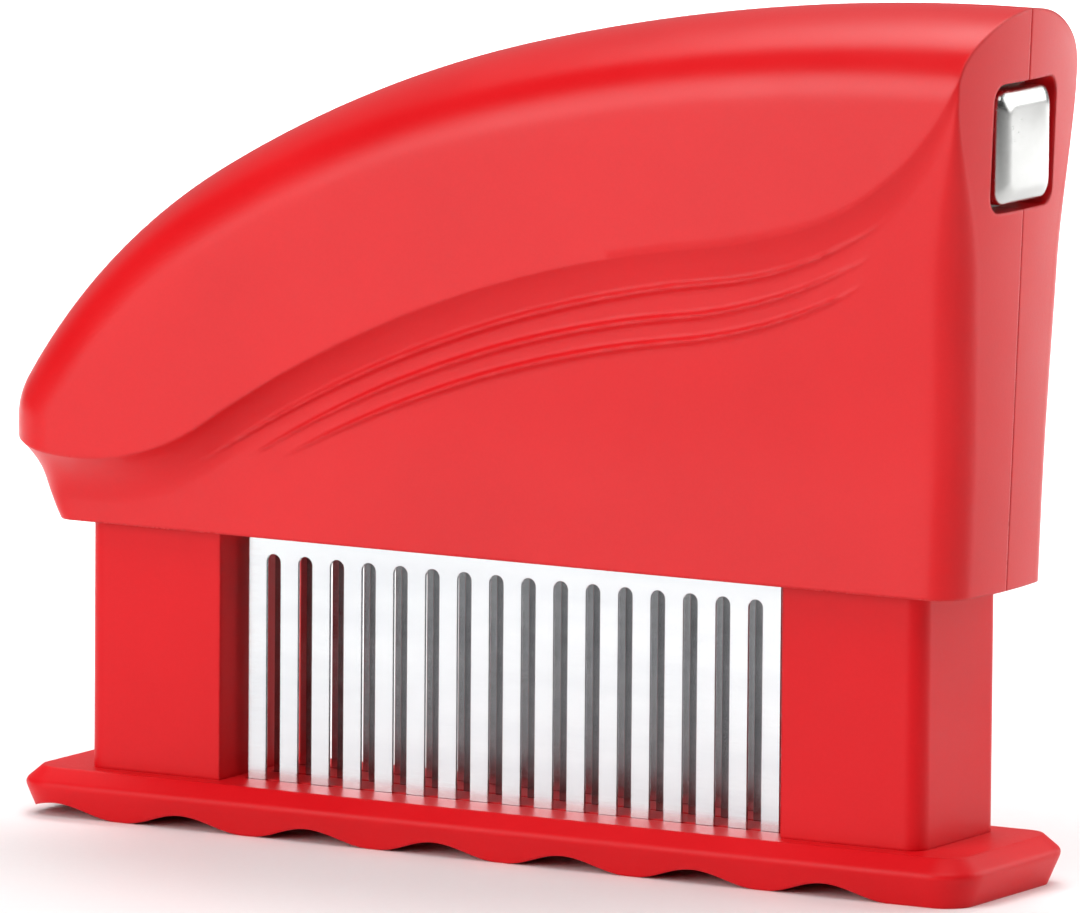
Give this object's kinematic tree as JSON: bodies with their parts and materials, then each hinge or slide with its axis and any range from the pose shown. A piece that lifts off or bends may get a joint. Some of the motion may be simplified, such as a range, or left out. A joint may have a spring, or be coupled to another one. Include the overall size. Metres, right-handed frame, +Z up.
{
  "type": "blade meat tenderizer",
  "caption": "Palm grip with rows of steel blades that slides down two spring columns through a slotted, scalloped guard plate, with a release button at one end.",
  "frame": {"origin": "On the standing plane, under the middle of the whole object's box", "axes": "+Z up; +X along the blade rows, towards the release button; +Y across the rows, away from the front side"},
  "size_m": [0.1653, 0.0366, 0.128],
  "materials": {
    "red_guard": "satin moulded plastic",
    "red_shell": "fine matt moulded plastic",
    "blade_steel": "bright rolled stainless steel",
    "small_steel": "plain bright steel",
    "carrier_plastic": "natural white moulded plastic",
    "button_metal": "satin chrome"
  },
  "bodies": {
    "guard": {"guard_plate": "red_guard", "left_column": "red_guard", "right_column": "red_guard", "column_screws": "small_steel", "left_spring": "small_steel", "right_spring": "small_steel"},
    "grip": {"front_shell": "red_shell", "rear_shell": "red_shell", "shell_screws": "small_steel", "blade_comb_front": "blade_steel", "blade_comb_middle": "blade_steel", "blade_comb_rear": "blade_steel", "comb_carrier": "carrier_plastic", "comb_pins": "small_steel", "left_guide_rod": "small_steel", "right_guide_rod": "small_steel", "left_spring_cap": "carrier_plastic", "right_spring_cap": "carrier_plastic", "button_spring": "small_steel"},
    "button": {"button_cap": "button_metal", "button_plunger": "carrier_plastic", "button_screws": "small_steel"}
  },
  "joints": [
    {"name": "grip_press", "type": "slide", "parent": "guard", "child": "grip", "axis": [0, 0, -1], "range_m": [0, 0.025], "stiffness_N_per_m": 1200, "springref_m": -0.01, "deforming": ["left_spring", "right_spring"]},
    {"name": "button_press", "type": "slide", "parent": "grip", "child": "button", "axis": [-1, 0, 0], "range_m": [0, 0.0025], "stiffness_N_per_m": 600, "springref_m": -0.003, "deforming": ["button_spring"]}
  ]
}
